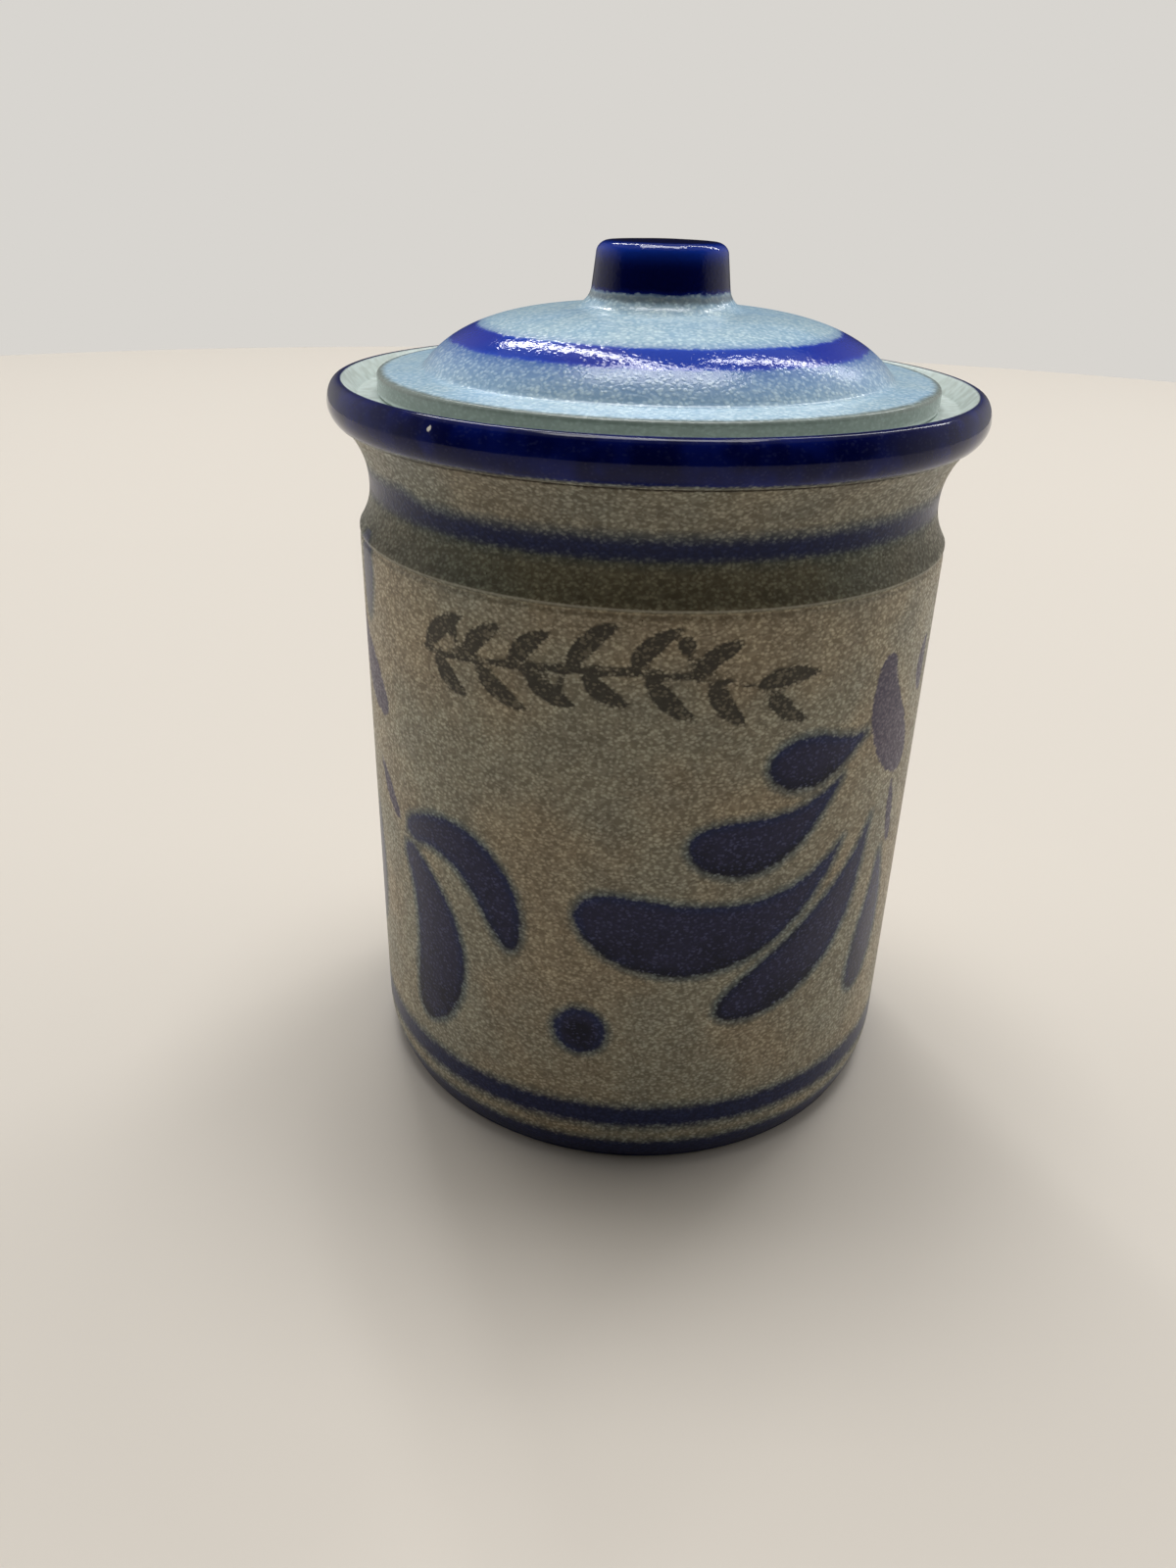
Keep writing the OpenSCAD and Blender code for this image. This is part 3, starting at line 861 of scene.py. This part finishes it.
def crock_clay(p, peel, drift, mottle, fringe):
    """Bare clay under the salt glaze: orange peel, warm and cool patches, iron specks, the greyer
    neck, the darker band above the tooled line, which is a wash deepened by painted shade under the
    bead, its light lip and painted shade in the crease below the bead."""
    clay = p.mix(peel, CLAY_DARK, CLAY_LIGHT)
    clay = p.tint(clay, p.mix(p.span(p.noise(PATCH_SIZE), 0.35, 0.65), CLAY_WARM, CLAY_COOL))
    clay = p.tint(clay, p.mix(p.span(drift, 0.3, 0.7), DRIFT_DARK, DRIFT_LIGHT))
    clay = p.tint(clay, p.mix(p.span(mottle, 0.3, 0.7), MOTTLE_DARK, MOTTLE_LIGHT))
    specks = p.add("ShaderNodeTexVoronoi", {"Vector": p.place, "Scale": 1 / SPECK_SIZE})
    draw = p.add("ShaderNodeSeparateColor", {0: specks.outputs["Color"]}).outputs[0]
    speck = p.times(p.span(specks.outputs["Distance"], 0.045, 0.02), p.calc("GREATER_THAN", draw, 0.62))
    clay = p.mix(p.times(speck, 0.8), clay, IRON)
    clay = p.tint(clay, NECK_TINT, p.field("collar"))
    # Darker band above the tooled line: a wash, deepened as painted shade under the bead's overhang
    clay = p.tint(clay, WASH_AND_SHADE_TINT, p.field("wash_and_shade"))
    clay = p.mix(p.times(p.span(p.field("lip"), 0.45, 0.05), 0.42), clay, LIP_LIGHT)
    # Painted shade: the crease under the bead is darkened as if in the bead's shadow
    crease = p.span(p.plus(p.field("crease"), p.times(fringe, 0.3)), 0.75, 0.15)
    return p.mix(p.times(crease, 0.85), clay, CREASE_SHADE)


def leaf_paint(p, leaf, peel, drift, fleck):
    """Cobalt of the leaves and dots: darker where it pooled and in the gaps of the peel."""
    pool = p.plus(p.field("pool"), p.around_zero(drift, 0.9), clamp=True)
    colour = p.mix(p.span(leaf, -0.6, -3.0), LEAF_EDGE, LEAF_MIDDLE)
    colour = p.mix(p.span(pool, 0.52, 1.0), colour, LEAF_POOL)
    gaps = p.calc("SUBTRACT", 1.0, peel)
    colour = p.mix(p.times(gaps, 0.75), colour, p.tint(colour, GAP_TINT))
    return p.mix(p.times(fleck, 0.5), colour, LEAF_FLECK)


def band_paint(p, band, drift, fleck):
    """Cobalt of the bead, which turns brown where it thins out in the crease."""
    colour = p.mix(p.span(band, -0.2, -1.3), BAND_EDGE, COBALT_DEEP)
    colour = p.mix(p.times(p.span(drift, 0.4, 0.7), 0.55), colour, COBALT)
    colour = p.mix(p.times(fleck, 0.10), colour, LEAF_FLECK)
    return p.mix(p.span(p.field("fade"), 1.0, 0.35), colour, BEAD_BROWN)


def crock_material():
    p = Paint("salt_glazed_crock")
    peel = peel_cells(p, CROCK_CELL)
    drift = p.noise(DRIFT_SIZE)
    mottle = p.noise(MOTTLE_SIZE, 1.0)
    # How far the edge of a painted shape frays, in millimetres
    fringe = p.plus(p.around_zero(peel, 0.5), p.around_zero(mottle, 1.1))
    fleck = p.times(p.span(peel, 0.35, 0.95), p.span(mottle, 0.25, 0.62))
    clay = crock_clay(p, peel, drift, mottle, fringe)

    # Thin veil above the neck stripe, then the neck stripe and the foot's two bands
    veil = p.times(p.field("veil"), p.calc("SUBTRACT", 1.1, p.times(peel, 0.6)))
    clay = p.mix(p.times(veil, 0.55, clamp=True), clay, VEIL)
    stripe = p.plus(p.field("stripe"), p.times(fringe, 1.2))
    stripe_core = p.span(stripe, 1.3, -1.1)
    clay = p.tint(clay, HALO_TINT, p.times(p.span(stripe, 3.4, 0.4), 0.7))
    clay = p.mix(p.times(stripe_core, 0.95), clay, p.mix(peel, STRIPE_DARK, STRIPE_THIN))

    # Purple petals, thin enough to let the clay through
    petal_core = p.span(p.plus(p.field("petal"), fringe), 0.5, -0.5)
    colour = p.mix(p.times(petal_core, 0.88), clay, p.mix(peel, PETAL, PETAL_THIN))

    # Bluish haze round the leaves and the bead's cobalt
    leaf = p.plus(p.field("leaf"), fringe)
    leaf_core = p.span(leaf, 0.6, -0.7)
    band = p.plus(p.field("band"), p.times(fringe, 0.6))
    band_core = p.span(band, 0.6, -0.6)
    halo = p.calc("MAXIMUM", p.times(p.span(leaf, 2.8, 0.2), 0.9), p.times(p.span(band, 2.4, 0.2), 0.8))
    colour = p.tint(colour, HALO_TINT, halo)

    # Olive branch, rubbed through in places, then leaves and bead
    branch_core = p.span(p.plus(p.field("branch"), p.times(fringe, 0.8)), 0.5, -0.4)
    worn = p.span(p.plus(p.times(peel, 0.5), p.noise(WORN_SIZE)), 0.62, 0.95)
    colour = p.mix(p.times(branch_core, 0.88), colour, p.mix(worn, BRANCH_DARK, BRANCH_THIN))
    colour = p.mix(leaf_core, colour, leaf_paint(p, leaf, peel, drift, fleck))
    colour = p.mix(band_core, colour, band_paint(p, band, drift, fleck))

    # A small chip on the bead
    from_chip = p.add("ShaderNodeVectorMath", {0: p.place, 1: CHIP_AT}, operation="DISTANCE")
    away = from_chip.outputs["Value"]
    chip = p.span(p.plus(away, p.times(p.noise(0.8), CHIP_RAGGED)), CHIP_SIZE, 1.2)
    colour = p.mix(chip, colour, CHIP)

    # White slip inside the rim and the crock
    slip = p.span(p.plus(p.field("white"), p.times(fringe, 0.3)), 0.3, -0.3)
    p.shade("Base Color", p.mix(slip, colour, slip_colour(p, mottle)))
    p.shade("Specular IOR Level", 0.2)

    rough = p.blend(peel, 0.46, 0.30)
    rough = p.blend(p.calc("MAXIMUM", leaf_core, stripe_core), rough, 0.28)
    rough = p.blend(band_core, rough, 0.10)
    rough = p.blend(slip, rough, 0.22)
    p.shade("Roughness", rough)

    depth = p.blend(band_core, CROCK_PEEL, CROCK_SMOOTH)
    depth = p.blend(slip, depth, CROCK_SMOOTH)
    raised = p.plus(p.times(leaf_core, LEAF_RAISED), p.times(branch_core, BRANCH_RAISED))
    p.bump(p.plus(p.times(peel, depth), raised))
    return p.material


def lid_material():
    p = Paint("salt_glazed_lid")
    peel = peel_cells(p, LID_CELL)
    mottle = p.noise(LID_MOTTLE_SIZE, 1.5, 0.3)
    fringe = p.plus(p.around_zero(peel, 0.4), p.around_zero(mottle, 1.2))

    # Pale blue glaze, greyer down the edge of the flange
    clay = p.mix(p.plus(p.times(peel, 0.75), p.times(mottle, 0.3)), LID_DARK, LID_LIGHT)
    clay = p.tint(clay, p.mix(p.span(p.noise(LID_PATCH_SIZE), 0.35, 0.65), LID_WARM, LID_COOL))
    past_edge = p.field("white")
    edge = p.span(p.plus(past_edge, fringe), 6.2, 4.2)
    clay = p.mix(edge, clay, p.tint(LID_EDGE, p.mix(peel, LID_EDGE_DARK, LID_EDGE_LIGHT)))

    # Cobalt that ran down below the stripe and lies thinly round it
    drip = p.times(p.field("drip"), p.calc("SUBTRACT", 1.1, p.times(peel, 0.5)))
    clay = p.mix(p.times(drip, 0.8, clamp=True), clay, DRIP)
    stripe = p.plus(p.field("stripe"), fringe)
    colour = p.mix(p.times(p.span(stripe, 3.0, -0.4), 0.45), clay, DRIP)

    # Painted reflection: a brown line at the foot of the knob, where the dark cap shows in the glaze
    # below it
    cap = p.plus(p.field("cap"), fringe)
    painted_reflection_under_cap = p.span(p.calc("ABSOLUTE", p.calc("SUBTRACT", cap, 0.8)), 1.6, 0.2)
    colour = p.mix(p.times(painted_reflection_under_cap, 0.6), colour, KNOB_FOOT_REFLECTION)

    # Stripe, with violet stretches
    core = p.span(stripe, 0.4, -0.9)
    stripe_colour = p.mix(p.times(p.span(stripe, -0.3, -1.8), 0.85), COBALT_LIT, COBALT_BRIGHT)
    violet = p.span(p.noise(VIOLET_SIZE, 1.0), 0.46, 0.62)
    stripe_colour = p.mix(p.times(violet, 0.22), stripe_colour, MANGANESE)
    colour = p.mix(core, colour, stripe_colour)

    # Knob, brighter where the glaze is thin round its top edge
    cap_core = p.span(cap, 0.3, -0.7)
    cap_colour = p.mix(p.span(cap, -0.2, -1.6), COBALT, COBALT_DEEP)
    cap_colour = p.mix(p.times(p.field("thin"), 0.7), cap_colour, COBALT_BRIGHT)
    colour = p.mix(cap_core, colour, cap_colour)

    p.shade("Base Color", p.mix(p.span(past_edge, 0.6, -0.4), colour, slip_colour(p, mottle)))
    p.shade("Specular IOR Level", 0.4)
    painted = p.calc("MAXIMUM", core, cap_core)
    p.shade("Roughness", p.blend(painted, p.blend(peel, 0.22, 0.15), 0.09))
    p.bump(p.times(peel, p.blend(painted, LID_PEEL, LID_SMOOTH)))
    return p.material


# Camera, floor and lights

# The photograph's camera: pixels per unit slope, tilt, roll and turn in radians, and its place
FOCAL_PX = 1189.7
PHOTO_H_PX = 1600
TILT, ROLL, TURN = 0.4776, 0.0252, -0.0477
CAMERA_AT = (0.0, -0.30076, 0.22975)
SENSOR_MM = 36.0

FLOOR_REACH = 1.6
FLOOR_STEPS = 96
FLOOR_COLOUR = srgb(212, 205, 195)
BACKGROUND = srgb(216, 213, 208)

# The studio is brightest beside the pot and a little behind it. How far a direction points to
# either side and how far back are weighed by SIDE_WAY and added up. Over the range SIDE_SPREAD of
# that sum, the light rises from the first strength of SIDE_GLOW to the second.
SIDE_WAY = (0.87, 0.49)
SIDE_SPREAD = (0.60, 1.0)
SIDE_GLOW = (0.08, 3.4)
# The share of that light that reflections don't see
GLOSS_DIM = 0.8

# The long windows stand this far off, and their middle this much higher than their ends say
STRIP_AWAY = 3.0
STRIP_LIFT = 0.15


def add_camera():
    ahead = [math.sin(TURN) * math.cos(TILT), math.cos(TURN) * math.cos(TILT), -math.sin(TILT)]
    forward = np.array(ahead)
    level = np.array([math.cos(TURN), -math.sin(TURN), 0])
    up = np.cross(level, forward)
    right = level * math.cos(ROLL) + up * math.sin(ROLL)
    up = -level * math.sin(ROLL) + up * math.cos(ROLL)
    data = bpy.data.cameras.new("camera")
    data.sensor_width = SENSOR_MM
    data.lens = FOCAL_PX * SENSOR_MM / PHOTO_H_PX
    data.clip_start = 0.01
    camera = add_object("camera", data)
    rows = [[right[i], up[i], -forward[i], CAMERA_AT[i]] for i in range(3)] + [[0, 0, 0, 1]]
    camera.matrix_world = Matrix(rows)
    bpy.context.scene.camera = camera


def add_area(name, size, watts):
    data = bpy.data.lights.new(name, "AREA")
    data.shape = "RECTANGLE"
    data.size, data.size_y = size
    data.energy = watts
    return add_object(name, data)


def aim(light, way):
    light.rotation_mode = "QUATERNION"
    light.rotation_quaternion = Vector(way).to_track_quat("-Z", "Y")


def add_light(name, at, target, size, watts):
    light = add_area(name, size, watts)
    aim(light, Vector(target) - Vector(at))
    light.location = at


def add_strip(name, start, end, width, watts):
    """A long window behind the pot, from one height and bearing to another, in degrees."""
    ends = []
    for up, bearing in (start, end):
        up, bearing = math.radians(up), math.radians(bearing)
        way = Vector((math.cos(up) * math.sin(bearing), math.cos(up) * math.cos(bearing), math.sin(up)))
        ends.append(STRIP_AWAY * way)
    middle = (ends[0] + ends[1]) / 2 + Vector((0, 0, STRIP_LIFT))
    across = (ends[1] - ends[0]).normalized()
    facing = middle.normalized()
    facing = (facing - across * facing.dot(across)).normalized()
    light = add_area(name, ((ends[1] - ends[0]).length, width), watts)
    turn = Matrix((across, facing.cross(across), facing)).transposed().to_4x4()
    light.matrix_world = Matrix.Translation(middle) @ turn


def add_sun(name, way, strength, spread):
    """A light from one direction everywhere, spread in degrees."""
    data = bpy.data.lights.new(name, "SUN")
    data.energy = strength
    data.angle = math.radians(spread)
    aim(add_object(name, data), -Vector(way))


def add_floor():
    mesh = bpy.data.meshes.new("floor")
    ring = [(x, y, 0) for x, y in disc(FLOOR_REACH, FLOOR_REACH, FLOOR_STEPS)]
    mesh.from_pydata(ring, [], [list(range(FLOOR_STEPS))])
    floor = add_object("floor", mesh)
    p = Paint("pale_floor")
    p.shade("Base Color", (*FLOOR_COLOUR, 1))
    p.shade("Roughness", 0.7)
    mesh.materials.append(p.material)


def add_world():
    """The studio round the pot. The camera sees a plain pale background instead, and reflections
    see the bright sides dimmer."""
    world = bpy.data.worlds.new("studio")
    bpy.context.scene.world = world
    world.use_nodes = True
    tree = world.node_tree

    def add(kind, *inputs, **settings):
        node = tree.nodes.new(kind)
        for key, value in settings.items():
            setattr(node, key, value)
        for socket, value in zip(node.inputs, inputs):
            if isinstance(value, bpy.types.NodeSocket):
                tree.links.new(value, socket)
            else:
                socket.default_value = value
        return node.outputs

    def calc(operation, *inputs):
        return add("ShaderNodeMath", *inputs, operation=operation)[0]

    x, y, _ = add("ShaderNodeSeparateXYZ", add("ShaderNodeTexCoord")["Generated"])
    facing = calc("MULTIPLY_ADD", calc("ABSOLUTE", x), SIDE_WAY[0], calc("MULTIPLY", y, SIDE_WAY[1]))
    glow = add("ShaderNodeMapRange", facing, *SIDE_SPREAD, *SIDE_GLOW,
               interpolation_type="SMOOTHSTEP")[0]
    path = add("ShaderNodeLightPath")
    dim = calc("MULTIPLY_ADD", path["Is Glossy Ray"], -GLOSS_DIM, 1.0)
    unseen = calc("MULTIPLY", glow, dim)
    strength = add("ShaderNodeMix", path["Is Camera Ray"], (0, 0, 0), unseen, 1.0)[0]
    back = tree.nodes["Background"]
    back.inputs["Color"].default_value = (*BACKGROUND, 1)
    tree.links.new(strength, back.inputs["Strength"])


def main():
    add_camera()
    add_world()
    add_floor()
    add_strip("window_left", start=(73, 3), end=(34, -26), width=0.15, watts=17)
    add_strip("window_right", start=(60, 19), end=(28, 44), width=0.17, watts=13)
    add_light("roof_light", at=(0, 0.7, 3.8), target=(0, 0, 0.1), size=(2.4, 1.2), watts=80)
    add_sun("open_sky", way=(0.0, 0.3, 1.0), strength=0.35, spread=80)
    crock = crock_piece()
    crock.data.materials.append(crock_material())
    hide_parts("crock")
    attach(crock, "crock")
    lid = lid_piece()
    lid.data.materials.append(lid_material())
    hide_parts("lid")
    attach(lid, "lid")
    bpy.context.scene.view_settings.view_transform = "Standard"


main()
